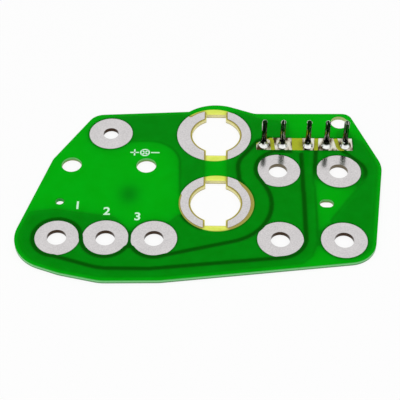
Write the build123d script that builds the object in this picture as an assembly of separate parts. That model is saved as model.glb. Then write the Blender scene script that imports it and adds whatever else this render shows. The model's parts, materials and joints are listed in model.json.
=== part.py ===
# Instrument panel circuit board: a laminate with seven copper areas, a green solder mask
# and a row of five soldered pins. Millimetres, with X along the board, Y across it and
# +Z out of the copper side. The origin is the middle of the outline on the underside.

import os

from build123d import *

# Board and its layers
board_length = 102.5
board_width = 68.2
laminate_thickness = 1.2
copper_thickness = 0.07
mask_thickness = 0.03
mask_side_coat = 0.08
copper_rim = 1.3

# Rounding of the outline
flank_r = 5.0
rear_corner_r = 3.0
right_corner_r = 10.0
front_corner_r = 8.0
edge_blend_r = 12.0
terminal_corner_r = 11.2
left_corner_r = 3.0
upper_corner_r = 4.9

# Terminal studs: a row of three, a rectangle of four for two gauges, and one for ground
stud_hole_d = 5.4
ground_hole_d = 4.5
barrel_wall = 0.05
land_d = 12.7
land_margin = 0.2
terminal_land_space = 0.6
gauge_land_space = 4.7
gauge_pitch_y = 26.05
gauge_lamp_drop = 0.23
terminal_row_drop = 0.14

# Lamp openings: round, with a key slot, in a ring of bare contacts
lamp_opening_d = 14.1
lamp_key_width = 5.8
lamp_key_length = 17.0
lamp_copper_margin = 0.5
lamp_contact_width = 2.3
lamp_pitch = 27.15
lamp_boss_d = 25.4
upper_ring_d = 21.7
lower_ring_d = 21.2
upper_ring_shift = -0.6
lower_ring_shift = 0.3

# Plain holes
locating_hole_d = 5.7
corner_hole_d = 5.0
index_hole_d = 2.3
slot_length = 3.9
slot_width = 2.9
mask_clearance = 0.1

# Pins and their solder
pin_d = 1.6
pin_height = 9.3
pin_hole_d = 1.9
pin_row_offset = 10.85
pin_row_shift = 0.3
pin_pitch = 5.4
pin_key_pitch = 7.45
pin_strip_width = 5.0
pin_strip_margin = 2.2
solder_half_width = 1.5
solder_half_length = 1.6
solder_shift = 0.5
solder_height = 1.7
solder_feather = 0.06

# Gaps between the copper areas
gap_width = 1.2
terminal_gap_width = 0.8
lamp_gap_width = 6.9
pin_key_gap_width = 3.2
pin_key_gap_shift = 0.65
gap_land_margin = 0.25
boss_gap_inset = 1.7
gap_sweep_r = 20.0
gap_turn_r = 7.4
gap_bend_r = 2.5
lamp_sweep_r = 14.6
window_corner_r = 9.2

# One overrun serves all cuts
overrun = 1.0

# Places as shares of the board's length and width, from the middle of the outline
outline_shares = [
    (0.147, 0.448),
    (0.421, 0.454),
    (0.502, 0.139),
    (0.456, -0.382),
    (-0.108, -0.495),
    (-0.264, -0.500),
    (-0.373, -0.462),
    (-0.524, -0.377),
    (-0.424, 0.156),
    (-0.318, 0.430),
]
outline_radii = [
    flank_r,
    rear_corner_r,
    right_corner_r,
    front_corner_r,
    edge_blend_r,
    edge_blend_r,
    edge_blend_r,
    terminal_corner_r,
    left_corner_r,
    upper_corner_r,
]
middle_terminal_share = -0.258
gauge_group_share = 0.294
ground_stud_share = (-0.267, 0.315)
lamp_column_share = 0.035
locating_hole_shares = [(-0.370, 0.126), (-0.160, 0.126)]
corner_hole_share = (0.392, 0.399)
index_hole_share = (-0.391, -0.085)
slot_share = (0.339, -0.080)

# Corners of the gaps, of the windows without copper and of the strip without mask, as shares from
# a place nearby: of the land's diameter from a stud, of the pitch of the lamps from a lamp, and of
# the pitch of the pins and the width of their strip from a pin
limiter_terminal_shares = [(-0.077, -0.848), (-0.056, -0.843)]
limiter_gauge_share = (0.558, -0.447)
gauge_gap_shares = [(-0.538, 0.000), (-0.545, -0.397)]
feed_lamp_shares = [(0.248, 0.335), (0.229, 0.591)]
feed_pin_shares = [(-0.324, 0.234), (0.417, 0.634)]
strip_cut_shares = [(0.330, 0.500), (-0.407, 0.060)]
sender_gap_shares = [(0.847, -0.337), (0.324, 0.594)]
far_gauge_pin_share = (1.640, -0.280)
far_gauge_gap_shares = [(0.710, 0.035), (0.370, -0.475)]
left_window_ground_shares = [(0.049, 1.250), (0.049, -0.022), (0.363, -0.231)]
left_window_upper_lamp_share = (-0.385, -0.107)
left_window_lower_lamp_share = (-0.362, -0.160)
left_window_right_terminal_shares = [(0.309, 0.435), (-0.531, 0.166)]
left_window_middle_terminal_share = (0.161, 0.591)
left_window_left_terminal_shares = [(-0.091, 0.806), (-1.600, 0.591), (-1.600, 4.400)]
rear_window_shares = [
    (-1.025, 0.532),
    (-1.025, 1.882),
    (-2.525, 2.019),
    (-3.531, 2.660),
    (-3.531, 4.215),
    (5.351, 4.215),
    (5.351, 0.218),
    (2.809, 0.259),
    (2.392, 0.573),
    (2.297, 1.132),
    (1.690, 1.132),
    (1.652, 0.532),
]
right_window_upper_shares = [(-0.556, -0.241), (0.453, -0.446)]
right_window_lower_shares = [
    (0.082, 1.069),
    (-0.241, 0.575),
    (-0.152, 0.000),
    (0.316, -0.500),
    (0.509, -1.260),
    (-1.033, -1.260),
    (-1.033, -0.756),
    (-0.713, -0.457),
    (-0.567, -0.043),
]

# Angles in degrees
boss_start_angle = 70.2
boss_end_angle = 129.8
terminal_ring_end_angle = 268.0
terminal_arc_start_angle = 180.0
terminal_arc_sweep_angle = 150.0
sender_arc_start_angle = 210.0
sender_arc_sweep_angle = 83.0
lamp_ring_start_angle = 165.0
lamp_ring_sweep_angle = 235.0
boss_gap_start_angle = 62.0
boss_gap_sweep_angle = 72.0

# Heights and spreads of the solder's hollow slope, as shares of its height and foot
solder_height_shares = [0.0, 0.2, 0.5, 1.0]
solder_spread_shares = [1.0, 0.52, 0.2, 0.0]
pin_dome_share = 0.85
cusp_depth_share = 0.4


def at(share):
    """Point of the drawing at a share of the board's length and width."""
    return Vector(share[0] * board_length, share[1] * board_width)


def beside(place, share, unit_x, unit_y):
    """Point at a share of two unit lengths from a place."""
    return place + Vector(share[0] * unit_x, share[1] * unit_y)


def near_stud(stud, share):
    """Point at a share of the land's diameter from a stud."""
    return beside(stud, share, land_d, land_d)


def near_lamp(lamp, share):
    """Point at a share of the pitch of the lamps from a lamp."""
    return beside(lamp, share, lamp_pitch, lamp_pitch)


def near_pin(pin, share):
    """Point at a share of the pitch of the pins and of their strip's width from a pin."""
    return beside(pin, share, pin_pitch, pin_strip_width)


# Centres of the lamp openings, studs and pins, each row placed from the lamps
upper_lamp = Vector(lamp_column_share * board_length, board_width / 2 - lamp_boss_d / 2)
lower_lamp = upper_lamp - Vector(0, lamp_pitch)
gauge_pitch_x = land_d + gauge_land_space
gauge_group = Vector(gauge_group_share * board_length, lower_lamp.Y - gauge_lamp_drop)
gauge_reach = Vector(gauge_pitch_x / 2, gauge_pitch_y / 2)
gauge_upper_left = gauge_group + Vector(-gauge_reach.X, gauge_reach.Y)
gauge_upper_right = gauge_group + gauge_reach
gauge_lower_left = gauge_group - gauge_reach
gauge_lower_right = gauge_group + Vector(gauge_reach.X, -gauge_reach.Y)
terminal_pitch = land_d + terminal_land_space
terminal_row_y = gauge_lower_left.Y - terminal_row_drop
middle_terminal = Vector(middle_terminal_share * board_length, terminal_row_y)
left_terminal = middle_terminal - Vector(terminal_pitch, 0)
right_terminal = middle_terminal + Vector(terminal_pitch, 0)
ground_stud = at(ground_stud_share)
middle_pin = gauge_group + Vector(pin_row_shift, gauge_reach.Y + pin_row_offset)
pin_offsets = [
    -pin_key_pitch - pin_pitch,
    -pin_key_pitch,
    0,
    pin_pitch,
    2 * pin_pitch,
]
pins = [middle_pin + Vector(offset_x, 0) for offset_x in pin_offsets]
between_pins = [(left + right) / 2 for left, right in zip(pins, pins[1:])]
key_middle = between_pins[1] + Vector(pin_key_gap_shift, 0)
gap_reach = Vector(0, pin_strip_width / 2 + gap_width / 2)

plated_studs = [
    left_terminal,
    middle_terminal,
    right_terminal,
    gauge_upper_left,
    gauge_upper_right,
    gauge_lower_left,
    gauge_lower_right,
]
copper_top = laminate_thickness + copper_thickness
gap_ring_r = land_d / 2 + gap_land_margin
lamp_contact_r = lamp_opening_d / 2 + lamp_copper_margin + lamp_contact_width
lamp_ring_gap_r = lamp_contact_r + gap_width / 2
copper_land_r = land_d / 2 + land_margin


def on_circle(centre, radius, angle):
    """Point of a circle at an angle from +X."""
    return centre + Vector(radius, 0).rotate(Axis.Z, angle)


def disc(centre, diameter):
    """Round face about a point."""
    return Pos(centre) * Circle(diameter / 2)


def outline_face():
    """The board's edge: straight runs with rounded corners, and a boss round the upper lamp."""
    boss_r = lamp_boss_d / 2
    start = on_circle(upper_lamp, boss_r, boss_start_angle)
    end = on_circle(upper_lamp, boss_r, boss_end_angle)
    corners = [at(share) for share in outline_shares]
    run = FilletPolyline(start, *corners, end, radius=outline_radii)
    boss = CenterArc(upper_lamp, boss_r, boss_start_angle, boss_end_angle - boss_start_angle)
    return make_face([run.edges(), boss.edges()])


def lamp_face(centre, margin):
    """A lamp opening, a round hole with a key slot across it, widened all round by a margin."""
    key = Rectangle(lamp_key_width + 2 * margin, lamp_key_length + 2 * margin)
    return Pos(centre) * (Circle(lamp_opening_d / 2 + margin) + key)


def plain_hole_faces(clearance):
    """Holes without copper: two for location, one in a corner, an index hole and a slot."""
    faces = [disc(at(share), locating_hole_d + 2 * clearance) for share in locating_hole_shares]
    faces.append(disc(at(corner_hole_share), corner_hole_d + 2 * clearance))
    faces.append(disc(at(index_hole_share), index_hole_d + 2 * clearance))
    slot = SlotOverall(slot_length + 2 * clearance, slot_width + 2 * clearance)
    faces.append(Pos(at(slot_share)) * slot)
    return faces


def gap_face(line, width, grow):
    """A gap along a line, narrowed by what the copper grows, with round ends."""
    drawn = width - 2 * grow
    face = disc(line @ 0, drawn) + disc(line @ 1, drawn)
    for edge in line.edges():
        face += trace(edge, drawn)
    return face


def terminal_gaps(grow):
    """Gaps round the left terminal and under the other two, which meet at a point between them."""
    cusp = (middle_terminal + right_terminal) / 2 - Vector(0, gap_ring_r * cusp_depth_share)
    link = Vector(gap_ring_r, 0)
    ring = CenterArc(left_terminal, gap_ring_r, 0, terminal_ring_end_angle)
    under_middle = CenterArc(
        middle_terminal, gap_ring_r, terminal_arc_start_angle, terminal_arc_sweep_angle
    )
    under_right = CenterArc(right_terminal, gap_ring_r, sender_arc_start_angle, sender_arc_sweep_angle)
    lines = [
        ring,
        Line(left_terminal + link, middle_terminal - link),
        under_middle,
        Line(under_middle @ 1, cusp),
        Line(cusp, under_right @ 0),
        under_right,
    ]
    upright = Line(cusp, cusp + Vector(0, 2 * gap_ring_r))
    faces = [gap_face(line, gap_width, grow) for line in lines]
    return faces + [gap_face(upright, terminal_gap_width, grow)]


def key_gap(grow):
    """The wide gap in the row of pins, across the bare strip that they stand in."""
    line = Line(key_middle - gap_reach, key_middle + gap_reach)
    return trace(line, pin_key_gap_width - 2 * grow)


def lamp_gap(grow):
    """The straight gap that parts the two contacts of each lamp."""
    line = Line(upper_lamp + Vector(0, lamp_boss_d), lower_lamp - Vector(0, lamp_ring_gap_r))
    return trace(line, lamp_gap_width - 2 * grow)


def area_gaps(grow):
    """Long gaps that part the copper areas, each from the pins or a stud to a window."""
    pin_foot = between_pins[0] - gap_reach
    key_foot = key_middle - gap_reach
    ring_foot = on_circle(left_terminal, gap_ring_r, terminal_ring_end_angle)
    sender_end_angle = sender_arc_start_angle + sender_arc_sweep_angle
    sender_foot = on_circle(right_terminal, gap_ring_r, sender_end_angle)
    ring = CenterArc(lower_lamp, lamp_ring_gap_r, lamp_ring_start_angle, lamp_ring_sweep_angle)
    limiter = FilletPolyline(
        ring_foot,
        near_stud(middle_terminal, limiter_terminal_shares[0]),
        near_stud(right_terminal, limiter_terminal_shares[1]),
        near_stud(gauge_lower_left, limiter_gauge_share),
        key_foot + Vector(pin_key_gap_width / 2 - gap_width / 2, 0),
        radius=[gap_sweep_r, gap_sweep_r, gap_turn_r],
    )
    feed = FilletPolyline(
        ring @ 1,
        *[near_lamp(lower_lamp, share) for share in feed_lamp_shares],
        *[near_pin(pins[0], share) for share in feed_pin_shares],
        pin_foot,
        radius=[gap_bend_r, gap_turn_r, gap_bend_r / 2, gap_bend_r / 2],
    )
    sender = FilletPolyline(
        sender_foot,
        *[near_lamp(lower_lamp, share) for share in sender_gap_shares],
        pin_foot,
        radius=[lamp_sweep_r, gap_turn_r],
    )
    gauge = FilletPolyline(
        between_pins[2] + gap_reach,
        *[near_stud(gauge_upper_right, share) for share in gauge_gap_shares],
        radius=gap_sweep_r,
    )
    far_gauge = FilletPolyline(
        between_pins[3] + gap_reach,
        near_pin(middle_pin, far_gauge_pin_share),
        *[near_stud(gauge_upper_right, share) for share in far_gauge_gap_shares],
        radius=[gap_bend_r, 2 * gap_bend_r],
    )
    limiter_top = Line(pin_foot, key_foot)
    boss_gap_r = lamp_boss_d / 2 - boss_gap_inset
    boss = CenterArc(upper_lamp, boss_gap_r, boss_gap_start_angle, boss_gap_sweep_angle)
    lines = [ring, limiter, feed, sender, gauge, far_gauge, limiter_top, boss]
    return [gap_face(line, gap_width, grow) for line in lines]


def left_window_corners():
    """Corners of the window between the ground stud, the lamps and the three terminals."""
    corners = [near_stud(ground_stud, share) for share in left_window_ground_shares]
    corners.append(near_lamp(upper_lamp, left_window_upper_lamp_share))
    corners.append(near_lamp(lower_lamp, left_window_lower_lamp_share))
    corners += [near_stud(right_terminal, share) for share in left_window_right_terminal_shares]
    corners.append(near_stud(middle_terminal, left_window_middle_terminal_share))
    return corners + [near_stud(left_terminal, share) for share in left_window_left_terminal_shares]


def right_window_corners():
    """Corners of the window between the two studs on the right."""
    corners = [near_stud(gauge_upper_right, share) for share in right_window_upper_shares]
    return corners + [near_stud(gauge_lower_right, share) for share in right_window_lower_shares]


def window_face(corners, radii, kept_studs, grow):
    """A window without copper, which leaves a round land at each stud beside it."""
    face = make_face(FilletPolyline(*corners, radius=radii, close=True).edges())
    if grow:
        face = offset(face, -grow)
    for stud in kept_studs:
        face -= disc(stud, 2 * (copper_land_r + grow))
    return face


def window_faces(grow):
    """The three large windows without copper."""
    left_corners = left_window_corners()
    rear_corners = [near_pin(middle_pin, share) for share in rear_window_shares]
    right_corners = right_window_corners()
    lamp_corner = near_lamp(upper_lamp, left_window_upper_lamp_share)
    left_radii = [window_corner_r if corner == lamp_corner else 0 for corner in left_corners]
    left_studs = [ground_stud, middle_terminal, right_terminal]
    right_studs = [gauge_upper_right, gauge_lower_right]
    return [
        window_face(left_corners, left_radii, left_studs, grow),
        window_face(rear_corners, [0] * len(rear_corners), [], grow),
        window_face(right_corners, [0] * len(right_corners), right_studs, grow),
    ]


def copper_areas(outline, grow):
    """All copper seen from above, with every edge moved out by grow."""
    areas = offset(outline, grow - copper_rim)
    for window in window_faces(grow):
        areas -= window
    gaps = terminal_gaps(grow) + area_gaps(grow) + [key_gap(grow), lamp_gap(grow)]
    for gap in gaps:
        areas -= gap
    return areas


def area_at(areas, point):
    """The one copper area that holds a point."""
    for face in areas.faces():
        if face.is_inside(point):
            return face
    raise ValueError("no copper area at this place")


def copper_hole_faces():
    """What the studs, lamps and pins take out of the copper."""
    faces = [disc(stud, stud_hole_d) for stud in plated_studs]
    faces.append(disc(ground_stud, ground_hole_d))
    faces += [lamp_face(lamp, lamp_copper_margin) for lamp in (upper_lamp, lower_lamp)]
    faces += [disc(pin, pin_hole_d) for pin in pins]
    return faces


def barrel(stud, hole_d):
    """Plating on the wall of a stud's hole."""
    wall = disc(stud, hole_d + 2 * barrel_wall) - disc(stud, hole_d)
    return extrude(wall, laminate_thickness)


def make_laminate(outline):
    """The glass-fibre board with all its holes."""
    face = outline
    for stud in plated_studs:
        face -= disc(stud, stud_hole_d + 2 * barrel_wall)
    face -= disc(ground_stud, ground_hole_d + 2 * barrel_wall)
    for hole in [lamp_face(upper_lamp, 0), lamp_face(lower_lamp, 0)] + plain_hole_faces(0):
        face -= hole
    for pin in pins:
        face -= disc(pin, pin_hole_d)
    return extrude(face, laminate_thickness)


def make_conductor(areas, studs, pin):
    """One copper area with the plated holes of its studs."""
    start = studs[0] if studs else pin
    face = area_at(areas, start)
    for hole in copper_hole_faces():
        face -= hole
    solid = extrude(Pos(0, 0, laminate_thickness) * face, copper_thickness)
    for stud in studs:
        hole_d = ground_hole_d if stud is ground_stud else stud_hole_d
        solid += barrel(stud, hole_d)
    return solid


def strip_face():
    """The bare strip round the pins, with the corner behind the first pin cut off."""
    low = pins[0] - Vector(pin_strip_margin, pin_strip_width / 2)
    high = pins[-1] + Vector(pin_strip_margin, pin_strip_width / 2)
    cut = [near_pin(pins[0], share) for share in strip_cut_shares]
    return make_face(Polyline(low, Vector(high.X, low.Y), high, *cut, close=True).edges())


def open_faces():
    """Places without mask down to the laminate: lamp rings, pin strip and plain holes."""
    upper_ring = disc(upper_lamp + Vector(upper_ring_shift, 0), upper_ring_d)
    lower_ring = disc(lower_lamp + Vector(lower_ring_shift, 0), lower_ring_d)
    return [upper_ring, lower_ring, strip_face()] + plain_hole_faces(mask_clearance)


def make_mask(outline, areas):
    """A thin green film that dips into the gaps, climbs over the copper and leaves the lands bare."""
    over = copper_areas(outline, mask_side_coat)
    beside = over - areas
    around = outline - areas
    for hole in open_faces():
        over -= hole
        beside -= hole
        around -= hole
    for stud in plated_studs + [ground_stud]:
        over -= disc(stud, land_d)
    film_top = laminate_thickness + mask_thickness
    film = extrude(Pos(0, 0, laminate_thickness) * around, mask_thickness)
    film += extrude(Pos(0, 0, film_top) * beside, copper_thickness - mask_thickness)
    return film + extrude(Pos(0, 0, copper_top) * over, mask_thickness)


def make_pin(place):
    """A round pin with a domed tip, flush with the underside."""
    body = extrude(Circle(pin_d / 2), copper_top + pin_height)
    tip = body.edges().sort_by(Axis.Z)[-1]
    return Pos(place) * fillet(tip, pin_dome_share * pin_d / 2)


def make_solder(place):
    """Solder that fills the hole round a pin and climbs its foot in a hollow slope."""
    rings = []
    for height_share, spread_share in zip(solder_height_shares, solder_spread_shares):
        top_r = pin_d / 2 + solder_feather
        half_width = top_r + (solder_half_width - top_r) * spread_share
        half_length = top_r + (solder_half_length - top_r) * spread_share
        level = copper_top + solder_height * height_share
        rings.append(Pos(0, -solder_shift * spread_share, level) * Ellipse(half_width, half_length))
    mound = loft(rings)
    sleeve = extrude(Circle(pin_hole_d / 2), copper_top)
    bore = extrude(Circle(pin_d / 2), copper_top + solder_height + overrun)
    return Pos(place) * (mound + sleeve - bore)


def write(node, solid, centre):
    """Move a sub-part so that the middle of the outline is the origin, and write it."""
    export_step(Pos(-centre.X, -centre.Y, 0) * solid, f"parts/{node}.step")


def main():
    os.makedirs("parts", exist_ok=True)
    outline = outline_face()
    centre = outline.bounding_box().center()
    areas = copper_areas(outline, 0)
    conductors = {
        "ground_conductor": ([ground_stud], None),
        "lamp_feed_conductor": ([], pins[1]),
        "sender_conductor": ([right_terminal], pins[0]),
        "limiter_conductor": ([left_terminal, gauge_upper_left, gauge_lower_left], None),
        "ignition_conductor": ([middle_terminal], pins[2]),
        "upper_gauge_conductor": ([gauge_upper_right], pins[3]),
        "lower_gauge_conductor": ([gauge_lower_right], pins[4]),
    }
    write("laminate", make_laminate(outline), centre)
    for node, (studs, pin) in conductors.items():
        write(node, make_conductor(areas, studs, pin), centre)
    write("solder_mask", make_mask(outline, areas), centre)
    for number, place in enumerate(pins, start=1):
        write(f"pin_{number}", make_pin(place), centre)
        write(f"solder_joint_{number}", make_solder(place), centre)


main()
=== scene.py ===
# Looks of an instrument panel circuit board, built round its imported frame. Metres, +Z up.

import json
import math

import bpy
import numpy as np
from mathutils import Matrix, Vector
from mathutils.bvhtree import BVHTree
from mathutils.geometry import delaunay_2d_cdt
from mathutils.kdtree import KDTree


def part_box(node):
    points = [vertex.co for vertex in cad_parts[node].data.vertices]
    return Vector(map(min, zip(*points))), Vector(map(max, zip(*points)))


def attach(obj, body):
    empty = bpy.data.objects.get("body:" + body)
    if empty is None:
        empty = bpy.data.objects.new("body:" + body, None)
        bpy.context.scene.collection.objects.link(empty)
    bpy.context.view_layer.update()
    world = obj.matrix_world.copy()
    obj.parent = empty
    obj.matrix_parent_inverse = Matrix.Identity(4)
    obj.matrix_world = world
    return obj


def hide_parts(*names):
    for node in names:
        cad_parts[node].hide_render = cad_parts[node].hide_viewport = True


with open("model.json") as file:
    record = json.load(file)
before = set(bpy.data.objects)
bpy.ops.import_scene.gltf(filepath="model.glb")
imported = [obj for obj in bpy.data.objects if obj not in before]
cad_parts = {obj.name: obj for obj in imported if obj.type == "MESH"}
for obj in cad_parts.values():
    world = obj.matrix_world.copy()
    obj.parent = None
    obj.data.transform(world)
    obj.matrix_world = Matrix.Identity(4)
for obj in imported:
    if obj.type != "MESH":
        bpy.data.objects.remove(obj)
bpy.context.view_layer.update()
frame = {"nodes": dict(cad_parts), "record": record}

MM = 0.001
BODY = "root"
CONDUCTORS = [name for name in frame["nodes"] if name.endswith("_conductor")]
PINS = [name for name in frame["nodes"] if name.startswith("pin_")]
MOUNTS = {mount["name"]: mount for mount in frame["record"]["mounts"]}

# Levels of the layers, read from the frame
LAMINATE_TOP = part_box("laminate")[1].z
COPPER_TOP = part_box("lamp_feed_conductor")[1].z
FILM_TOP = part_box("solder_mask")[1].z
FILM_THICKNESS = FILM_TOP - COPPER_TOP

# Fine meshes of the solder mask and the laminate
FILM_STEP = 0.28 * MM
FILM_COARSE = 4
FILM_EDGE_BAND = 1.4 * MM
EDGE_CLEARANCE = 0.18 * MM
EDGE_STEP = 0.3 * MM
BARE_STEP = 0.25 * MM
POINT_MERGE = 0.0005 * MM
LEVEL_MERGE = 0.01 * MM
SLIVER_AREA = 0.0002 * MM * MM
UPWARD_NORMAL = 0.9
RAY_HEIGHT = 1.0

# Widths that tell the small holes and the lamp openings from the stud holes
SMALL_HOLE = 3.0 * MM
LAMP_HOLE = 12.0 * MM

# Rasters seen from above, which the painted shades are worked out from
RASTER_STEP = 0.12 * MM
RASTER_MARGIN = 4.0 * MM
BLUR_RADII = 3

# Radii of the brushes that fill the gaps between conductors, from the narrow gaps to the wide ones
GAP_REACHES = [0.74 * MM, 0.86 * MM, 0.98 * MM, 1.10 * MM, 1.22 * MM]

# Shades of the film, mostly painted glow and shade: how far each is blurred, the blurred values between which
# it rises, and its share
COVER_BLUR = 1.2 * MM
COVER_RISE = (0.05, 0.95)
WINDOW_SHADE_BLUR = 2.8 * MM
WINDOW_SHADE_SHARE = 0.75
GAP_BLUR = 0.30 * MM
GAP_RISE = (0.06, 0.85)
EDGE_SHADE_BLUR = 0.32 * MM
EDGE_SHADE_SHARE = 0.22
LAND_BLUR = 0.55 * MM
LAND_RISE = (0.08, 0.5)
LAND_SHARE = 0.8

# Soft spots on the film, where the painted shade along the copper's edges grows and where a darker patch
# lies: offset from a stud or a locating hole, and size, in mm along X and Y
WINDOW_SHADE_LINE_SHARE = 0.30
LEFT_WINDOW_SHADE_LINE = ((8.0, 0.0), (5.0, 9.0))
RIGHT_WINDOW_SHADE_LINE = ((-6.3, -16.0), (2.5, 8.0))
DARK_PATCH_SHARE = 0.85
DARK_PATCH = ((-4.36, -11.38), (2.1, 2.6))

# Ends of the painted gap shade that fade: the signs of the gauge stud's column and row, then a soft spot
GAP_FADE_SHARE = 0.85
GAP_FADES = [
    ((1, -1), ((-7.0, 0.7), (1.1, 2.8))),
    ((1, 1), ((5.7, -4.9), (2.2, 2.2))),
    ((1, 1), ((-6.3, -3.4), (1.2, 1.6))),
]

# Shades of the laminate: painted shade beside copper, a green tint beside the film, painted glow near the
# openings and painted shade near the pins
COPPER_EDGE_BLUR = 0.5 * MM
COPPER_EDGE_RISE = (0.01, 0.25)
FILM_EDGE_BLUR = 0.5 * MM
FILM_EDGE_RISE = (0.20, 0.90)
FILM_EDGE_LEAST = 0.01
HOLE_GLOW_BLUR = 0.9 * MM
HOLE_GLOW_RISE = (0.10, 0.50)
PIN_SHADE_REACH = 1.5 * MM

# Places along Y between which the painted shade on the laminate's walls and the copper's hole edges changes
REAR_WALLS = (24.0 * MM, 26.0 * MM)
HOLE_SHADE_ROWS = (-20.0 * MM, 25.0 * MM)

# Parts of a surface's normal between which painted shade and painted highlights set in: along Z for tin,
# along Y for the others
TIN_TOP_NORMALS = (0.2, 0.7)
PIN_BACK_NORMALS = (0.33, 0.45)
SOLDER_FRONT_NORMALS = (0.10, -0.35)

# Shares of a second pattern in a finish
WEAVE_SHARE = 0.08
CLOUD_SHARE = 0.25

# Sockets of a mix node that mixes colours: its factor and two colours, and its result
MIX_INPUTS = (0, 6, 7)
MIX_OUTPUT = 2

# Pins and their solder, with heights over the copper; the pin's edge heights and the solder's dark heights
# bound painted highlights and reflections
PIN_SEGMENTS = 40
PIN_DOME_SHARE = 0.85
PIN_DOME_STEPS = 8
PIN_EDGE_HEIGHTS = (2.0 * MM, 7.0 * MM)
PIN_STRIP_REACH = 2.8 * MM
PIN_STRIP_FADE = 1.0 * MM
SOLDER_SEGMENTS = 48
SOLDER_STEPS = 14
SOLDER_FEATHER = 0.06 * MM
SOLDER_SLEEVE = 0.15 * MM
SOLDER_DARK_HEIGHTS = (0.95 * MM, 0.55 * MM)
SOLDER_HEIGHT_SHARES = [0.0, 0.2, 0.5, 1.0]
SOLDER_SPREAD_SHARES = [1.0, 0.52, 0.2, 0.0]

# Camera: a long lens that looks down at the copper side
CAMERA_PLACE = Vector((2.915, -241.865, 259.80)) * MM
CAMERA_AIM = Vector((-0.686, -4.795, 1.30)) * MM
CAMERA_LENS = 112.5
CAMERA_SENSOR = 36.0
CAMERA_CLIP_START = 0.01

# Stage: a wide floor just under the board, a white surround and two soft lamps (place, size, watts)
FLOOR_REACH = 3.0
FLOOR_DROP = 0.05 * MM
FLOOR_GLOW = 0.85
WORLD_LIGHT = 0.43
LAMPS = {
    "key_light": ((-0.25, -0.15, 0.55), 0.90, 2.5),
    "fill_light": ((0.35, 0.1, 0.5), 0.66, 1.3),
}

# Printed legend
LEGEND_THICKNESS = 0.02 * MM
LEGEND_HEIGHT = 2.9 * MM
LEGEND_BOLDNESS = 0.09 * MM
CAP_SHARE = 0.73
TERMINAL_MARKS = [("1", (4.82, 12.04)), ("2", (-0.25, 9.97)), ("3", (-4.82, 8.10))]
SIGN_OFFSET = Vector((-0.63, 5.18)) * MM
SIGN_PITCH = 3.0 * MM
SIGN_REACH = 1.25 * MM
SIGN_STROKE = 0.42 * MM
SIGN_SEGMENTS = 32


def scene_link(name, data):
    """A new object in the scene for a mesh, text, lamp or camera."""
    piece = bpy.data.objects.new(name, data)
    bpy.context.scene.collection.objects.link(piece)
    return piece


def new_material(name):
    """A node material, its tree and its shader."""
    material = bpy.data.materials.new(name)
    material.use_nodes = True
    tree = material.node_tree
    return material, tree, tree.nodes["Principled BSDF"]


def add_node(tree, kind, **values):
    """A node with its properties set, and its inputs by name."""
    node = tree.nodes.new(kind)
    for key, value in values.items():
        if key in node.inputs:
            node.inputs[key].default_value = value
        else:
            setattr(node, key, value)
    return node


def noise(tree, scale, detail=3.0, roughness=0.55, stretch=(1, 1, 1)):
    """Noise over the object's own place, in cycles a metre."""
    place = add_node(tree, "ShaderNodeTexCoord")
    mapping = add_node(tree, "ShaderNodeMapping", Scale=stretch)
    texture = add_node(tree, "ShaderNodeTexNoise", Scale=scale, Detail=detail, Roughness=roughness)
    tree.links.new(place.outputs["Object"], mapping.inputs["Vector"])
    tree.links.new(mapping.outputs["Vector"], texture.inputs["Vector"])
    return texture.outputs["Fac"]


def ramp(tree, fac, stops):
    """A colour ramp over a value, from (position, colour) stops."""
    node = add_node(tree, "ShaderNodeValToRGB")
    elements = node.color_ramp.elements
    while len(elements) < len(stops):
        elements.new(0.5)
    for element, (position, colour) in zip(elements, stops):
        element.position = position
        element.color = (*colour, 1)
    tree.links.new(fac, node.inputs["Fac"])
    return node.outputs["Color"]


def mix(tree, fac, first, second, blend="MIX"):
    """Mix of two colours, where fac, first and second are sockets or values."""
    node = add_node(tree, "ShaderNodeMix", data_type="RGBA", blend_type=blend)
    for value, number in zip((fac, first, second), MIX_INPUTS):
        socket = node.inputs[number]
        if isinstance(value, bpy.types.NodeSocket):
            tree.links.new(value, socket)
        elif isinstance(value, (tuple, list)):
            socket.default_value = (*value, 1)
        else:
            socket.default_value = value
    return node.outputs[MIX_OUTPUT]


def add_bump(tree, shader, height, strength, distance):
    """Bump on a shader from a height socket."""
    node = add_node(tree, "ShaderNodeBump", Strength=strength, Distance=distance)
    tree.links.new(height, node.inputs["Height"])
    tree.links.new(node.outputs["Normal"], shader.inputs["Normal"])


def axis_share(tree, vector, axis, low, high):
    """Share of the way between two values that a vector has gone along an axis."""
    split = add_node(tree, "ShaderNodeSeparateXYZ")
    share = add_node(tree, "ShaderNodeMapRange")
    share.inputs["From Min"].default_value = low
    share.inputs["From Max"].default_value = high
    tree.links.new(vector, split.inputs["Vector"])
    tree.links.new(split.outputs[axis], share.inputs["Value"])
    return share.outputs["Result"]


def along(tree, axis, low, high):
    """Share of the way between two places along an axis of the object."""
    place = add_node(tree, "ShaderNodeTexCoord")
    return axis_share(tree, place.outputs["Object"], axis, low, high)


def facing(tree, axis, low, high):
    """Share of the way between two values of the surface's normal along an axis."""
    surface = add_node(tree, "ShaderNodeNewGeometry")
    return axis_share(tree, surface.outputs["Normal"], axis, low, high)


def combined(tree, operation, first, second):
    """Two varying values put together by a math operation."""
    node = add_node(tree, "ShaderNodeMath", operation=operation, use_clamp=True)
    tree.links.new(first, node.inputs[0])
    tree.links.new(second, node.inputs[1])
    return node.outputs[0]


def pin_strip(tree):
    """One on the strip that carries the pins, and zero elsewhere."""
    low = min(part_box(pin)[0].x for pin in PINS) - PIN_STRIP_REACH
    front = min(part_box(pin)[0].y for pin in PINS) - PIN_STRIP_REACH
    across = along(tree, "X", low, low + PIN_STRIP_FADE)
    back = along(tree, "Y", front, front + PIN_STRIP_FADE)
    return combined(tree, "MULTIPLY", across, back)


def attribute(tree, name):
    """A value painted on the mesh."""
    return add_node(tree, "ShaderNodeAttribute", attribute_name=name).outputs["Fac"]


# Materials

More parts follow.
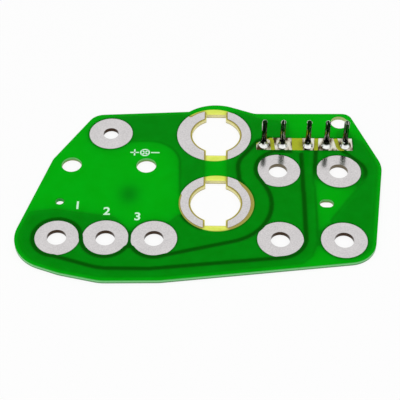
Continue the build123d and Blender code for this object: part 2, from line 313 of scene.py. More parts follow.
def mask_material():
    """Glossy green film: medium over copper; brighter over bare laminate, partly its own colour and partly
    painted glow; painted shade near copper, in narrow gaps, along copper edges and round lands; and a soft
    darker patch.
    """
    material, tree, shader = new_material("solder_mask")
    mottle = noise(tree, 260.0, detail=4.0, roughness=0.6)
    over_copper = ramp(tree, mottle, [(0.3, (0.000, 0.212, 0.002)), (0.7, (0.000, 0.245, 0.004))])
    # Brighter film over bare laminate: partly the film's own colour there and partly painted glow of light
    # through the laminate
    glowing_open_film = ramp(tree, mottle, [(0.3, (0.000, 0.385, 0.002)), (0.7, (0.000, 0.420, 0.004))])
    colour = mix(tree, attribute(tree, "copper_cover_and_shade"), glowing_open_film, over_copper)
    # Painted shade in the narrow gaps and along the copper's edges
    colour = mix(tree, attribute(tree, "gap_shade"), colour, (0.000, 0.088, 0.000))
    # Painted shade in a ring round the bare lands
    colour = mix(tree, attribute(tree, "land_shade"), colour, (0.000, 0.085, 0.002))
    # A soft darker patch on the film
    colour = mix(tree, attribute(tree, "dark_patch"), colour, (0.000, 0.200, 0.003))
    tree.links.new(colour, shader.inputs["Base Color"])
    shader.inputs["Roughness"].default_value = 0.16
    shader.inputs["Specular IOR Level"].default_value = 0.02
    add_bump(tree, shader, noise(tree, 1400.0, detail=2.0), strength=0.05, distance=0.02 * MM)
    return material


def laminate_material():
    """Yellow glass-fibre board with a faint weave, olive beside copper and green where film colours it, with
    painted shade beside copper, near the pins and down the walls, and painted glow near the openings and
    along the outer edge.
    """
    material, tree, shader = new_material("laminate")
    weave = add_node(tree, "ShaderNodeTexChecker", Scale=1500.0)
    place = add_node(tree, "ShaderNodeTexCoord")
    tree.links.new(place.outputs["Object"], weave.inputs["Vector"])
    bare = ramp(tree, noise(tree, 420.0), [(0.3, (0.64, 0.75, 0.075)), (0.7, (0.76, 0.84, 0.14))])
    shade_near_pins = [(0.1, (0.41, 0.47, 0.014)), (0.9, (0.16, 0.10, 0.012))]
    beside_film = [(0.6, (0.24, 0.56, 0.016)), (0.95, (0.02, 0.32, 0.008))]
    front_wall_shade_by_height = [(0.1, (0.26, 0.24, 0.09)), (0.5, (0.14, 0.50, 0.12)), (0.9, (0.16, 0.66, 0.20))]
    lamp_wall_shade_by_height = [(0.05, (0.46, 0.39, 0.16)), (0.35, (0.90, 0.85, 0.45)), (0.9, (0.86, 0.80, 0.38))]
    outer_edge_glow_by_height = [(0.30, (0.12, 0.31, 0.13)), (0.55, (0.27, 0.82, 0.31)), (0.92, (0.10, 0.50, 0.12))]
    height = along(tree, "Z", 0.0, LAMINATE_TOP)

    # Painted glow of the laminate near the openings
    colour = mix(tree, attribute(tree, "hole_glow"), bare, (0.90, 0.91, 0.20))
    # Painted shade on the bare laminate beside the copper
    colour = mix(tree, attribute(tree, "copper_shade"), colour, (0.34, 0.28, 0.060))
    # Painted shade on the strip that carries the pins, darker near each pin
    strip_shade = ramp(tree, attribute(tree, "pin_shade"), shade_near_pins)
    colour = mix(tree, attribute(tree, "pin_strip"), colour, strip_shade)
    # Painted shade on the walls: darker towards the bottom, and lighter at the back of the board
    wall = mix(tree, along(tree, "Y", *REAR_WALLS), ramp(tree, height, front_wall_shade_by_height), (0.50, 0.62, 0.26))
    top = ramp(tree, attribute(tree, "film_shade"), beside_film)
    tint = mix(tree, attribute(tree, "wall"), top, wall)
    colour = mix(tree, attribute(tree, "film_shade"), colour, tint)
    # Painted shadow at the foot of the lamp openings' walls, pale above it
    colour = mix(tree, attribute(tree, "lamp_hole"), colour, ramp(tree, height, lamp_wall_shade_by_height))
    # Painted shade down the deep, narrow small holes
    colour = mix(tree, attribute(tree, "small_hole"), colour, (0.03, 0.40, 0.06))
    # Painted glow in a band along the middle of the board's outer edge, darker towards the bottom
    colour = mix(tree, attribute(tree, "outer_edge"), colour, ramp(tree, height, outer_edge_glow_by_height))
    colour = mix(tree, WEAVE_SHARE, colour, weave.outputs["Color"], "SOFT_LIGHT")
    tree.links.new(colour, shader.inputs["Base Color"])
    shader.inputs["Roughness"].default_value = 0.45
    shader.inputs["Specular IOR Level"].default_value = 0.2
    add_bump(tree, shader, weave.outputs["Color"], strength=0.05, distance=0.01 * MM)
    return material


def tin_material():
    """Satin tinned copper with fine pits, with painted shade down the holes and painted streaks of reflection
    on the pads at the pins.
    """
    material, tree, shader = new_material("tinned_copper")
    grain = noise(tree, 2600.0, detail=5.0, roughness=0.7)
    pits = [(0.30, (0.50, 0.48, 0.49)), (0.55, (0.66, 0.64, 0.64)), (0.8, (0.74, 0.72, 0.72))]
    clouds = [(0.3, (0.55, 0.53, 0.53)), (0.7, (0.72, 0.69, 0.69))]
    colour = mix(tree, CLOUD_SHARE, ramp(tree, grain, pits), ramp(tree, noise(tree, 330.0), clouds))
    # Painted streaks of reflection on the pads round the pins
    reflection_streak = noise(tree, 620.0, detail=2.0, roughness=0.5, stretch=(1.0, 0.45, 1.0))
    striped_reflections = [(0.40, (0.05, 0.03, 0.010)), (0.53, (0.60, 0.57, 0.46)), (0.66, (0.80, 0.82, 0.74))]
    colour = mix(tree, pin_strip(tree), colour, ramp(tree, reflection_streak, striped_reflections))
    # Painted shade on the walls of the holes in the copper, paler in the middle rows
    dark = (0.045, 0.026, 0.015)
    pale = (0.15, 0.125, 0.085)
    hole_wall_shade_rows = [(0.3, dark), (0.5, pale), (0.7, pale), (0.85, dark)]
    hole_wall_shade = ramp(tree, along(tree, "Y", *HOLE_SHADE_ROWS), hole_wall_shade_rows)
    colour = mix(tree, facing(tree, "Z", *TIN_TOP_NORMALS), hole_wall_shade, colour)
    tree.links.new(colour, shader.inputs["Base Color"])
    shader.inputs["Metallic"].default_value = 1.0
    shader.inputs["Roughness"].default_value = 0.15
    add_bump(tree, shader, grain, strength=0.06, distance=0.01 * MM)
    return material


def pin_material():
    """Metal pin with painted reflections: dark at the front with thin pale streaks, and pale along its sides
    and back.
    """
    material, tree, shader = new_material("pin")
    dark = (0.004, 0.018, 0.004)
    pale = (0.84, 0.88, 0.80)
    # Painted reflections: thin pale streaks, pale upper edges and a pale back on a dark core
    side = facing(tree, "X", -1.0, 1.0)
    black = (0, 0, 0)
    grey = (0.2, 0.2, 0.2)
    white = (1, 1, 1)
    left_streak = [(0.20, black), (0.235, white), (0.26, white), (0.295, black)]
    right_streak = [(0.57, black), (0.61, white), (0.64, white), (0.68, black)]
    reflection_streak = ramp(tree, side, left_streak + right_streak)
    patches = noise(tree, 420.0, detail=2.0, roughness=0.5, stretch=(1, 1, 0.5))
    breaks = ramp(tree, patches, [(0.46, black), (0.54, white)])
    edges = ramp(tree, side, [(0.07, white), (0.14, black), (0.86, black), (0.93, white)])
    lengths = noise(tree, 330.0, detail=1.0, roughness=0.5, stretch=(1, 1, 0.4))
    thin = ramp(tree, lengths, [(0.38, grey), (0.48, white)])
    upper = along(tree, "Z", *(COPPER_TOP + height for height in PIN_EDGE_HEIGHTS))
    edges = combined(tree, "MULTIPLY", edges, combined(tree, "MULTIPLY", thin, upper))
    lit = combined(tree, "ADD", combined(tree, "MULTIPLY", reflection_streak, breaks), edges)
    lit = combined(tree, "ADD", lit, facing(tree, "Y", *PIN_BACK_NORMALS))
    tree.links.new(mix(tree, lit, dark, pale), shader.inputs["Base Color"])
    shader.inputs["Metallic"].default_value = 1.0
    shader.inputs["Roughness"].default_value = 0.15
    add_bump(tree, shader, noise(tree, 1500.0), strength=0.12, distance=0.02 * MM)
    return material


def solder_material():
    """Solder, bright only in a painted highlight on its front and in patches, with painted dark reflection at
    its back and where it draws up round the pin, and an uneven skin.
    """
    material, tree, shader = new_material("solder")
    skin = noise(tree, 1300.0)
    bright = ramp(tree, skin, [(0.35, (0.72, 0.74, 0.70)), (0.6, (0.93, 0.95, 0.92))])
    patches = noise(tree, 700.0, detail=2.0, roughness=0.5)
    # Painted highlight on the front of the mound and in patches, and painted dark reflection elsewhere
    front = facing(tree, "Y", *SOLDER_FRONT_NORMALS)
    low = along(tree, "Z", *(COPPER_TOP + height for height in SOLDER_DARK_HEIGHTS))
    lit = combined(tree, "MULTIPLY", front, low)
    lit = combined(tree, "ADD", lit, ramp(tree, patches, [(0.56, (0, 0, 0)), (0.60, (0.9, 0.9, 0.9))]))
    colour = mix(tree, lit, (0.012, 0.014, 0.010), bright)
    tree.links.new(colour, shader.inputs["Base Color"])
    shader.inputs["Metallic"].default_value = 1.0
    shader.inputs["Roughness"].default_value = 0.18
    add_bump(tree, shader, skin, strength=0.3, distance=0.05 * MM)
    return material


def legend_material():
    """Pale marking ink, slightly uneven."""
    material, tree, shader = new_material("legend")
    colour = ramp(tree, noise(tree, 2200.0), [(0.3, (0.52, 0.88, 0.60)), (0.7, (0.64, 0.93, 0.70))])
    tree.links.new(colour, shader.inputs["Base Color"])
    shader.inputs["Roughness"].default_value = 0.5
    return material


# Plans of the layers

def level_triangles(mesh):
    """Triangles of a mesh that look up, as corner places, by their level."""
    mesh.calc_loop_triangles()
    levels = {}
    for triangle in mesh.loop_triangles:
        if triangle.normal.z > UPWARD_NORMAL:
            corners = [tuple(mesh.vertices[index].co) for index in triangle.vertices]
            levels.setdefault(round(corners[0][2] / LEVEL_MERGE), []).append(corners)
    return [np.array(triangles) for triangles in levels.values()]


def plan_edges(levels):
    """Points and edges of the boundary of every level, seen from above."""
    flat = [np.round(triangles[:, :, :2] / POINT_MERGE).astype(np.int64) for triangles in levels]
    keys, index = np.unique(np.concatenate(flat).reshape(-1, 2), axis=0, return_inverse=True)
    index = index.reshape(-1, 3)
    edges = []
    start = 0
    for triangles in flat:
        corners = index[start:start + len(triangles)]
        start += len(triangles)
        sides = np.sort(np.concatenate([corners[:, [0, 1]], corners[:, [1, 2]], corners[:, [2, 0]]]), axis=1)
        level_edges, count = np.unique(sides, axis=0, return_counts=True)
        edges.append(level_edges[count == 1])
    return keys * POINT_MERGE, np.unique(np.concatenate(edges), axis=0)


def short_edges(corners, edges):
    """The same edges cut into short ones, with the points between."""
    points = corners.tolist()
    parts = []
    for start, end in edges.tolist():
        near, far = corners[start], corners[end]
        steps = max(1, int(math.ceil(np.linalg.norm(far - near) / EDGE_STEP)))
        between = list(range(len(points), len(points) + steps - 1))
        points += [(near + (far - near) * step / steps).tolist() for step in range(1, steps)]
        chain = [start, *between, end]
        parts += list(zip(chain, chain[1:]))
    return np.array(points), np.array(parts)


def point_distance(points, targets):
    """Distance of each point from the nearest of some others."""
    search = KDTree(len(targets))
    for number, target in enumerate(targets):
        search.insert((*target, 0), number)
    search.balance()
    return np.array([search.find((*point, 0))[2] for point in points])


def tree_of(names):
    """One search tree over the meshes of several nodes."""
    vertices = []
    faces = []
    for name in names:
        mesh = frame["nodes"][name].data
        start = len(vertices)
        vertices += [vertex.co.copy() for vertex in mesh.vertices]
        faces += [[start + index for index in polygon.vertices] for polygon in mesh.polygons]
    return BVHTree.FromPolygons(vertices, faces)


def levels_under(search, points):
    """Height of a mesh under each point, seen from above, or nan."""
    down = Vector((0, 0, -1))
    hits = [search.ray_cast(Vector((x, y, RAY_HEIGHT)), down)[0] for x, y in points]
    return np.array([math.nan if hit is None else hit.z for hit in hits])


def covered(search, points):
    """Whether a mesh lies under each point, seen from above."""
    return np.isfinite(levels_under(search, points))


def blurred(raster, radius):
    """Raster softened by a bell curve."""
    reach = max(1, int(math.ceil(BLUR_RADII * radius / RASTER_STEP)))
    offsets = np.arange(-reach, reach + 1) * RASTER_STEP
    weights = np.exp(-0.5 * (offsets / radius) ** 2)
    weights /= weights.sum()
    soft = np.apply_along_axis(lambda row: np.convolve(row, weights, mode="same"), 1, raster)
    return np.apply_along_axis(lambda column: np.convolve(column, weights, mode="same"), 0, soft)


def sampled(raster, low, points):
    """Raster values at points, interpolated."""
    place = (np.asarray(points) - low) / RASTER_STEP
    cell = np.floor(place).astype(int)
    share = place - cell
    x, y = cell.T
    across, up = share.T
    lower = raster[y, x] * (1 - across) + raster[y, x + 1] * across
    upper = raster[y + 1, x] * (1 - across) + raster[y + 1, x + 1] * across
    return lower * (1 - up) + upper * up


def smooth_step(rise, value):
    """Smooth rise from 0 to 1 between two values."""
    low, high = rise
    share = np.clip((value - low) / (high - low), 0, 1)
    return share * share * (3 - 2 * share)


def spot(points, anchor, place):
    """Soft spot at an offset from an anchor: one at its centre, fading over its size along X and Y."""
    offset, size = (Vector(pair) * MM for pair in place)
    away = (points - np.array(anchor + offset)) / np.array(size)
    return np.exp(-0.5 * (away ** 2).sum(axis=1))


def dilated(raster, radius):
    """Raster grown by a round brush."""
    reach = int(radius / RASTER_STEP)
    grown = raster.copy()
    for row in range(-reach, reach + 1):
        half = int(math.sqrt(reach * reach - row * row))
        for column in range(-half, half + 1):
            grown = np.maximum(grown, np.roll(raster, (row, column), (0, 1)))
    return grown


def closed(raster, radius):
    """Raster with its gaps filled where a round brush is wider than they are."""
    return 1 - dilated(1 - dilated(raster, radius), radius)


def layer_rasters():
    """Rasters of the copper, the film and the board, with their low corner."""
    low = np.array(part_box("laminate")[0][:2]) - RASTER_MARGIN
    high = np.array(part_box("laminate")[1][:2]) + RASTER_MARGIN
    columns = np.arange(low[0], high[0], RASTER_STEP)
    rows = np.arange(low[1], high[1], RASTER_STEP)
    points = np.stack(np.meshgrid(columns, rows), axis=-1).reshape(-1, 2)
    layers = {"low": low}
    for name, nodes in (("copper", CONDUCTORS), ("film", ["solder_mask"]), ("board", ["laminate"])):
        layers[name] = covered(tree_of(nodes), points).reshape(len(rows), len(columns)).astype(float)
    return layers


def plan_grid(name, step):
    """Rows of points over a node, seen from above."""
    low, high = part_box(name)
    return np.stack(np.meshgrid(np.arange(low.x, high.x, step), np.arange(low.y, high.y, step)), axis=-1)


def plan_mesh(corners, edges, inner, search):
    """Points and triangles between edges where a mesh lies under them, and its level at each triangle."""
    flat = [Vector(point) for point in np.concatenate([corners, inner])]
    points, _, faces, *_ = delaunay_2d_cdt(flat, edges.tolist(), [], 0, POINT_MERGE)
    places = np.array([tuple(point) for point in points])
    faces = np.array(faces)
    levels = levels_under(search, places[faces].mean(axis=1))
    kept = np.isfinite(levels)
    faces, levels = faces[kept], levels[kept]
    on_rim = np.zeros(len(places), int)
    on_rim[rim_edges(faces)] = 1
    first, second, third = (places[faces[:, corner]] for corner in range(3))
    side, other = (second - first).T, (third - first).T
    area = np.abs(side[0] * other[1] - side[1] * other[0]) / 2
    whole = (area > SLIVER_AREA) | (on_rim[faces].sum(axis=1) < 3)
    used, faces = np.unique(faces[whole], return_inverse=True)
    return places[used], faces.reshape(-1, 3), levels[whole]


def rim_edges(faces):
    """Edges that only one triangle has, in that triangle's direction."""
    sides = np.concatenate([faces[:, [0, 1]], faces[:, [1, 2]], faces[:, [2, 0]]])
    _, first, uses = np.unique(np.sort(sides, axis=1), axis=0, return_index=True, return_counts=True)
    return sides[first[uses == 1]]


def rim_loops(rim):
    """Points of each connected loop of rim edges."""
    label = np.arange(rim.max() + 1)
    changed = True
    while changed:
        lowest = label[rim].min(axis=1)
        changed = bool((label[rim] != lowest[:, None]).any())
        np.minimum.at(label, rim[:, 0], lowest)
        np.minimum.at(label, rim[:, 1], lowest)
        label = label[label]
    points = np.unique(rim)
    return [points[label[points] == name] for name in np.unique(label[points])]


def paint(mesh, shades):
    """Values painted on the points of a mesh, by name."""
    for name, values in shades.items():
        layer = mesh.attributes.new(name, "FLOAT", "POINT")
        layer.data.foreach_set("value", np.asarray(values, np.float32))


def add_piece(name, mesh, material, node=None):
    """A piece that rides on the board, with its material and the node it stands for."""
    mesh.materials.append(material)
    piece = scene_link(name, mesh)
    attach(piece, BODY)
    if node:
        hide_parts(node)


# Places that the mounts give

def locating_hole():
    """Centre of the right locating hole, seen from above."""
    mount = MOUNTS["locating_holes"]
    half_pitch = mount["dims"]["spacing_x_mm"] / 2 * MM
    return Vector((mount["pos_m"][0] + half_pitch, mount["pos_m"][1]))


def gauge_stud(column, row):
    """Centre of a gauge stud hole, seen from above, by the signs of its column and row."""
    mount = MOUNTS["gauge_studs"]
    half = Vector((mount["dims"]["spacing_x_mm"], mount["dims"]["spacing_y_mm"])) / 2 * MM
    return Vector((mount["pos_m"][0] + column * half.x, mount["pos_m"][1] + row * half.y))


def terminals():
    """Centres of the three terminals, seen from above."""
    mount = MOUNTS["terminal_studs"]
    half_pitch = mount["dims"]["spacing_x_mm"] / 2 * MM
    return [Vector((mount["pos_m"][0] + step * half_pitch, mount["pos_m"][1])) for step in (-1, 0, 1)]


# Solder mask and laminate

def film_shades(layers, places):
    """Shades of the film at points: over copper, with painted glow over bare laminate and painted shade near
    copper, painted shade in narrow gaps, along copper edges and round lands, and a darker patch.
    """
    low, copper, film = (layers[name] for name in ("low", "copper", "film"))
    filled = np.mean([closed(copper, reach) for reach in GAP_REACHES], axis=0)
    cover = smooth_step(COVER_RISE, sampled(blurred(filled, COVER_BLUR), low, places))
    # Painted shade that darkens the open film near copper
    shade_near_copper = sampled(blurred(filled, WINDOW_SHADE_BLUR), low, places)
    # Painted shade in the narrow gaps between conductors
    gap = smooth_step(GAP_RISE, sampled(blurred(filled - copper, GAP_BLUR), low, places))
    for corner, place in GAP_FADES:
        gap *= 1 - GAP_FADE_SHARE * spot(places, gauge_stud(*corner), place)
    windows = spot(places, locating_hole(), LEFT_WINDOW_SHADE_LINE)
    windows += spot(places, gauge_stud(1, 1), RIGHT_WINDOW_SHADE_LINE)
    # The painted shade line along the copper's edge is strongest where the blurred copper is one half
    edge = sampled(blurred(copper, EDGE_SHADE_BLUR), low, places)
    shade_line = (EDGE_SHADE_SHARE + WINDOW_SHADE_LINE_SHARE * windows) * 4 * edge * (1 - edge)
    # Painted shade round the bare lands
    bare = sampled(blurred(copper * (1 - film), LAND_BLUR), low, places)
    return {
        "copper_cover_and_shade": 1 - (1 - cover) * (1 - WINDOW_SHADE_SHARE * shade_near_copper),
        "gap_shade": np.maximum(gap, shade_line),
        "land_shade": LAND_SHARE * smooth_step(LAND_RISE, bare),
        "dark_patch": DARK_PATCH_SHARE * spot(places, locating_hole(), DARK_PATCH),
    }


def make_film(material, layers):
    """The solder mask as a fine film that climbs over the copper."""
    corners, edges = short_edges(*plan_edges(level_triangles(frame["nodes"]["solder_mask"].data)))
    grid = plan_grid("solder_mask", FILM_STEP)
    coarse = np.zeros(grid.shape[:2], bool)
    coarse[::FILM_COARSE, ::FILM_COARSE] = True
    grid = grid.reshape(-1, 2)
    distance = point_distance(grid, corners)
    fine = coarse.ravel() | (distance < FILM_EDGE_BAND)
    inner = grid[fine & (distance > EDGE_CLEARANCE)]
    places, faces, levels = plan_mesh(corners, edges, inner, tree_of(["solder_mask"]))
    top = np.zeros(len(places))
    np.maximum.at(top, faces.ravel(), np.repeat(levels, 3))

    count = len(places)
    upper = np.column_stack([places, top])
    lower = np.column_stack([places, top - FILM_THICKNESS])
    rim = rim_edges(faces).tolist()
    walls = [(end, start, start + count, end + count) for start, end in rim]
    under = (faces[:, ::-1] + count).tolist()
    mesh = bpy.data.meshes.new("mask_film")
    mesh.from_pydata(np.concatenate([upper, lower]).tolist(), [], faces.tolist() + under + walls)
    shades = film_shades(layers, places)
    paint(mesh, {name: np.concatenate([values, values]) for name, values in shades.items()})
    mesh.polygons.foreach_set("use_smooth", [True] * (2 * len(faces)) + [False] * len(walls))
    add_piece("mask_film", mesh, material, node="solder_mask")


def board_shades(layers, places):
    """Shades of the laminate at points: painted shade beside copper, a green tint beside film, painted glow
    beside holes, and painted shade near the pins and in their strip.
    """
    low = layers["low"]
    copper = sampled(blurred(layers["copper"], COPPER_EDGE_BLUR), low, places)
    film = sampled(blurred(layers["film"], FILM_EDGE_BLUR), low, places)
    board = sampled(blurred(layers["board"], FILM_EDGE_BLUR), low, places)
    # Painted glow near the openings
    glow = sampled(blurred(1 - layers["board"], HOLE_GLOW_BLUR), low, places)
    pins = np.array([((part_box(pin)[0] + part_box(pin)[1]) / 2)[:2] for pin in PINS])
    reach = np.min([np.hypot(*(places - pin).T) for pin in pins], axis=0)
    return {
        "copper_shade": smooth_step(COPPER_EDGE_RISE, copper),
        "film_shade": smooth_step(FILM_EDGE_RISE, film / np.maximum(board, FILM_EDGE_LEAST)),
        "hole_glow": smooth_step(HOLE_GLOW_RISE, glow),
        "pin_shade": np.exp(-0.5 * (reach / PIN_SHADE_REACH) ** 2),
        "pin_strip": (places > pins.min(axis=0) - PIN_STRIP_REACH).all(axis=1),
    }


def make_board(material, layers):
    """The laminate, fine where it lies bare, with walls of their own."""
    corners, edges = plan_edges(level_triangles(frame["nodes"]["laminate"].data))
    samples, _ = short_edges(corners, edges)
    grid = plan_grid("laminate", BARE_STEP).reshape(-1, 2)
    bare = layers["board"] * (1 - layers["film"]) * (1 - layers["copper"])
    inner = grid[sampled(dilated(bare, BARE_STEP), layers["low"], grid) > 0]
    inner = inner[point_distance(inner, samples) > EDGE_CLEARANCE]
    places, faces, _ = plan_mesh(corners, edges, inner, tree_of(["laminate"]))

    count = len(places)
    rim = rim_edges(faces)
    loops = rim_loops(rim)
    extents = [np.ptp(places[loop], axis=0).max() for loop in loops]
    outer, small, lamp = np.zeros((3, count))
    for loop, extent in zip(loops, extents):
        outer[loop] = extent == max(extents)
        small[loop] = extent < SMALL_HOLE
        lamp[loop] = LAMP_HOLE < extent < max(extents)

    wall_points, wall_rim = np.unique(rim, return_inverse=True)
    step = len(wall_points)
    layout = np.concatenate([places, places, places[wall_points], places[wall_points]])
    levels = np.repeat([LAMINATE_TOP, 0, LAMINATE_TOP, 0], [count, count, step, step])
    wall_rim = wall_rim.reshape(-1, 2) + 2 * count
    walls = [(end, start, start + step, end + step) for start, end in wall_rim.tolist()]
    under = (faces[:, ::-1] + count).tolist()
    mesh = bpy.data.meshes.new("board_core")
    mesh.from_pydata(np.column_stack([layout, levels]).tolist(), [], faces.tolist() + under + walls)
    shades = board_shades(layers, layout)
    underside = slice(count, 2 * count)
    for values in shades.values():
        values[underside] = 0
    flat = np.zeros(2 * count)
    walled = {"wall": np.ones(count), "outer_edge": outer, "small_hole": small, "lamp_hole": lamp}
    for name, values in walled.items():
        shades[name] = np.concatenate([flat, values[wall_points], values[wall_points]])
    paint(mesh, shades)
    mesh.polygons.foreach_set("use_smooth", [False] * (2 * len(faces)) + [True] * len(walls))
    add_piece("board_core", mesh, material, node="laminate")


# Pins, solder and legend

def ring_mesh(name, rings, closed_loop):
    """A smooth mesh through rings of points, closed on itself or by a flat cap at each end."""
    count = len(rings[0])
    vertices = [point for ring in rings for point in ring]
    pairs = list(zip(range(len(rings)), range(1, len(rings))))
    if closed_loop:
        pairs.append((len(rings) - 1, 0))
    faces = []
    for first, second in pairs:
        low, high = first * count, second * count
        for step in range(count):
            after = (step + 1) % count
            faces.append((low + step, low + after, high + after, high + step))
    sides = len(faces)
    if not closed_loop:
        faces.append(tuple(reversed(range(count))))
        faces.append(tuple(range((len(rings) - 1) * count, len(rings) * count)))
    mesh = bpy.data.meshes.new(name)
    mesh.from_pydata(vertices, [], faces)
    mesh.polygons.foreach_set("use_smooth", [True] * sides + [False] * (len(faces) - sides))
    return mesh


def ellipse(centre, half_width, half_length, level, segments):
    """Points round an ellipse at a level."""
    x, y = centre[:2]
    turns = [2 * math.pi * step / segments for step in range(segments)]
    return [(x + half_width * math.cos(turn), y + half_length * math.sin(turn), level) for turn in turns]


def make_pin(node, material):
    """A round pin with a domed tip."""
    low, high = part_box(node)
    centre = (low + high) / 2
    radius = (high.x - low.x) / 2
    dome = PIN_DOME_SHARE * radius
    rows = [(radius, low.z)]
    for step in range(PIN_DOME_STEPS + 1):
        turn = math.pi / 2 * step / PIN_DOME_STEPS
        rows.append((radius - dome + dome * math.cos(turn), high.z - dome + dome * math.sin(turn)))
    rings = [ellipse(centre, row, row, level, PIN_SEGMENTS) for row, level in rows]
    mesh = ring_mesh(node, rings, closed_loop=False)
    add_piece(f"{node}_form", mesh, material, node=node)


def make_solder(pin, node, material):
    """A mound of solder round the foot of a pin, drawn out to the front, with its sleeve down the hole."""
    pin_low, pin_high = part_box(pin)
    low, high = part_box(node)
    centre = (pin_low + pin_high) / 2
    bore = (pin_high.x - pin_low.x) / 2
    tip = bore + SOLDER_FEATHER
    half_width = (high.x - low.x) / 2
    half_length = (high.y - low.y) / 2
    shift = centre.y - (low.y + high.y) / 2
    sleeve = bore + SOLDER_SLEEVE
    rows = [(bore, bore, 0, low.z), (sleeve, sleeve, 0, low.z), (sleeve, sleeve, 0, COPPER_TOP)]
    for step in range(SOLDER_STEPS + 1):
        share = step / SOLDER_STEPS
        spread = float(np.interp(share, SOLDER_HEIGHT_SHARES, SOLDER_SPREAD_SHARES))
        width = tip + (half_width - tip) * spread
        length = tip + (half_length - tip) * spread
        rows.append((width, length, shift * spread, COPPER_TOP + (high.z - COPPER_TOP) * share))
    rows.append((bore, bore, 0, high.z))
    rings = []
    for width, length, back, level in rows:
        rings.append(ellipse((centre.x, centre.y - back), width, length, level, SOLDER_SEGMENTS))
    mesh = ring_mesh(node, rings, closed_loop=True)
    add_piece(f"{node}_form", mesh, material, node=node)


def film_level(place):
    """Top of the film under a place."""
    return float(levels_under(tree_of(["solder_mask"]), [place])[0])


def make_mark(number, place, material):
    """A plain number printed on the film."""
    text = bpy.data.curves.new("mark", "FONT")
    text.body = number
    text.size = LEGEND_HEIGHT / CAP_SHARE
    text.offset = LEGEND_BOLDNESS
    text.extrude = LEGEND_THICKNESS / 2
    text.align_x = "CENTER"
    holder = scene_link("mark", text)
    mesh = bpy.data.meshes.new_from_object(holder)
    bpy.data.objects.remove(holder)
    middle = sum((Vector(vertex.co) for vertex in mesh.vertices), Vector()) / len(mesh.vertices)
    level = film_level(place) + LEGEND_THICKNESS / 2
    for vertex in mesh.vertices:
        vertex.co += Vector((place.x - middle.x, place.y - LEGEND_HEIGHT / 2, level))
    add_piece(f"terminal_mark_{number}", mesh, material)


def ribbon(start, end, width):
    """Outline of a straight stroke."""
    run = (end - start).normalized()
    side = Vector((-run.y, run.x)) * width / 2
    return [start - side, end - side, end + side, start + side]


def make_sign(name, outlines, level, material):
    """Flat printed shapes, each from the points of its outline."""
    vertices = []
    faces = []
    for outline in outlines:
        start = len(vertices)
        count = len(outline)
        vertices += [(point.x, point.y, level + LEGEND_THICKNESS) for point in outline]
        vertices += [(point.x, point.y, level) for point in outline]
        faces.append(tuple(range(start, start + count)))
        faces.append(tuple(reversed(range(start + count, start + 2 * count))))
        for step in range(count):
            after = (step + 1) % count
            faces.append((start + after, start + step, start + count + step, start + count + after))
    mesh = bpy.data.meshes.new(name)
    mesh.from_pydata(vertices, [], faces)
    add_piece(name, mesh, material)


def make_legend(material):
    """Numbers at the terminals, and plus, lamp and minus signs behind the right locating hole."""
    for terminal, (number, offset) in zip(terminals(), TERMINAL_MARKS):
        make_mark(number, terminal + Vector(offset) * MM, material)
    middle = locating_hole() + SIGN_OFFSET
    level = film_level(middle)
    right = Vector((SIGN_REACH, 0))
    up = Vector((0, SIGN_REACH))
    left_place = middle - Vector((SIGN_PITCH, 0))
    right_place = middle + Vector((SIGN_PITCH, 0))
    bar = ribbon(left_place - right, left_place + right, SIGN_STROKE)
    post = ribbon(left_place - up, left_place + up, SIGN_STROKE)
    make_sign("plus_sign", [bar, post], level, material)
    make_sign("minus_sign", [ribbon(right_place - right, right_place + right, SIGN_STROKE)], level, material)
    turns = [2 * math.pi * step / SIGN_SEGMENTS for step in range(SIGN_SEGMENTS + 1)]
    rounds = [Vector((math.cos(turn), math.sin(turn))) for turn in turns]
    outer = SIGN_REACH + SIGN_STROKE / 2
    inner = SIGN_REACH - SIGN_STROKE / 2
    shapes = []
    for first, second in zip(rounds, rounds[1:]):
        near = [middle + first * inner, middle + first * outer]
        far = [middle + second * outer, middle + second * inner]
        shapes.append(near + far)
    for slant in (rounds[SIGN_SEGMENTS // 8], rounds[3 * SIGN_SEGMENTS // 8]):
        shapes.append(ribbon(middle - slant * SIGN_REACH, middle + slant * SIGN_REACH, SIGN_STROKE))
    make_sign("lamp_sign", shapes, level, material)


def make_pieces():
    """The conductors with their finish, and every piece that stands for a node or is printed on the board."""
    tin = tin_material()
    for name in CONDUCTORS:
        node = frame["nodes"][name]
        node.data.materials.clear()
        node.data.materials.append(tin)
    layers = layer_rasters()
    make_board(laminate_material(), layers)
    make_film(mask_material(), layers)
    pin_with_painted_reflections = pin_material()
    solder_with_painted_reflections = solder_material()
    for pin in PINS:
        make_pin(pin, pin_with_painted_reflections)
        make_solder(pin, pin.replace("pin", "solder_joint"), solder_with_painted_reflections)
    make_legend(legend_material())


# Stage

def seen_share(tree, unseen, seen):
    """One value for rays of the camera, of gloss and of glass, and another for the rays that light things."""
    path = add_node(tree, "ShaderNodeLightPath")
    eye = combined(tree, "MAXIMUM", path.outputs["Is Camera Ray"], path.outputs["Is Glossy Ray"])
    eye = combined(tree, "MAXIMUM", eye, path.outputs["Is Transmission Ray"])
    share = add_node(tree, "ShaderNodeMapRange")
    share.inputs["To Min"].default_value = unseen
    share.inputs["To Max"].default_value = seen
    tree.links.new(eye, share.inputs["Value"])
    return share.outputs["Result"]


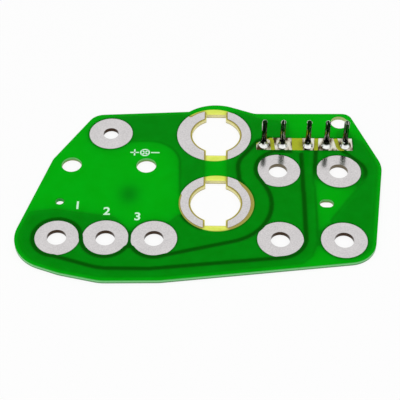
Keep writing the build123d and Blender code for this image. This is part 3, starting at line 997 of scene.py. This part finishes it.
def make_floor():
    """Pale floor that glows to the eye, and still shows some of the board's shadow."""
    signs = [(-1, -1), (1, -1), (1, 1), (-1, 1)]
    corners = [(x * FLOOR_REACH, y * FLOOR_REACH, -FLOOR_DROP) for x, y in signs]
    mesh = bpy.data.meshes.new("floor")
    mesh.from_pydata(corners, [], [(0, 1, 2, 3)])
    floor = scene_link("floor", mesh)
    material, tree, shader = new_material("floor")
    shader.inputs["Base Color"].default_value = (0.9, 0.9, 0.9, 1)
    shader.inputs["Roughness"].default_value = 0.8
    shader.inputs["Specular IOR Level"].default_value = 0.0
    glow = add_node(tree, "ShaderNodeEmission", Strength=1.0)
    blend = add_node(tree, "ShaderNodeMixShader")
    tree.links.new(seen_share(tree, 0.0, FLOOR_GLOW), blend.inputs["Fac"])
    tree.links.new(shader.outputs["BSDF"], blend.inputs[1])
    tree.links.new(glow.outputs["Emission"], blend.inputs[2])
    tree.links.new(blend.outputs["Shader"], tree.nodes["Material Output"].inputs["Surface"])
    mesh.materials.append(material)


def make_lights():
    """White surround, and soft lamps that metal doesn't mirror."""
    world = bpy.data.worlds.new("studio")
    world.use_nodes = True
    tree = world.node_tree
    background = tree.nodes["Background"]
    background.inputs["Color"].default_value = (1, 1, 1, 1)
    tree.links.new(seen_share(tree, WORLD_LIGHT, 1.0), background.inputs["Strength"])
    bpy.context.scene.world = world
    for name, (place, size, power) in LAMPS.items():
        lamp = bpy.data.lights.new(name, "AREA")
        lamp.size = size
        lamp.energy = power
        holder = scene_link(name, lamp)
        holder.location = place
        holder.rotation_euler = (-Vector(place)).to_track_quat("-Z", "Y").to_euler()
        holder.visible_glossy = False


def make_camera():
    """The photo's camera, and plain colours."""
    lens = bpy.data.cameras.new("camera")
    lens.lens = CAMERA_LENS
    lens.sensor_width = CAMERA_SENSOR
    lens.clip_start = CAMERA_CLIP_START
    camera = scene_link("camera", lens)
    camera.location = CAMERA_PLACE
    camera.rotation_euler = (CAMERA_AIM - CAMERA_PLACE).to_track_quat("-Z", "Y").to_euler()
    bpy.context.scene.camera = camera
    bpy.context.scene.view_settings.view_transform = "Standard"


make_pieces()
make_floor()
make_lights()
make_camera()
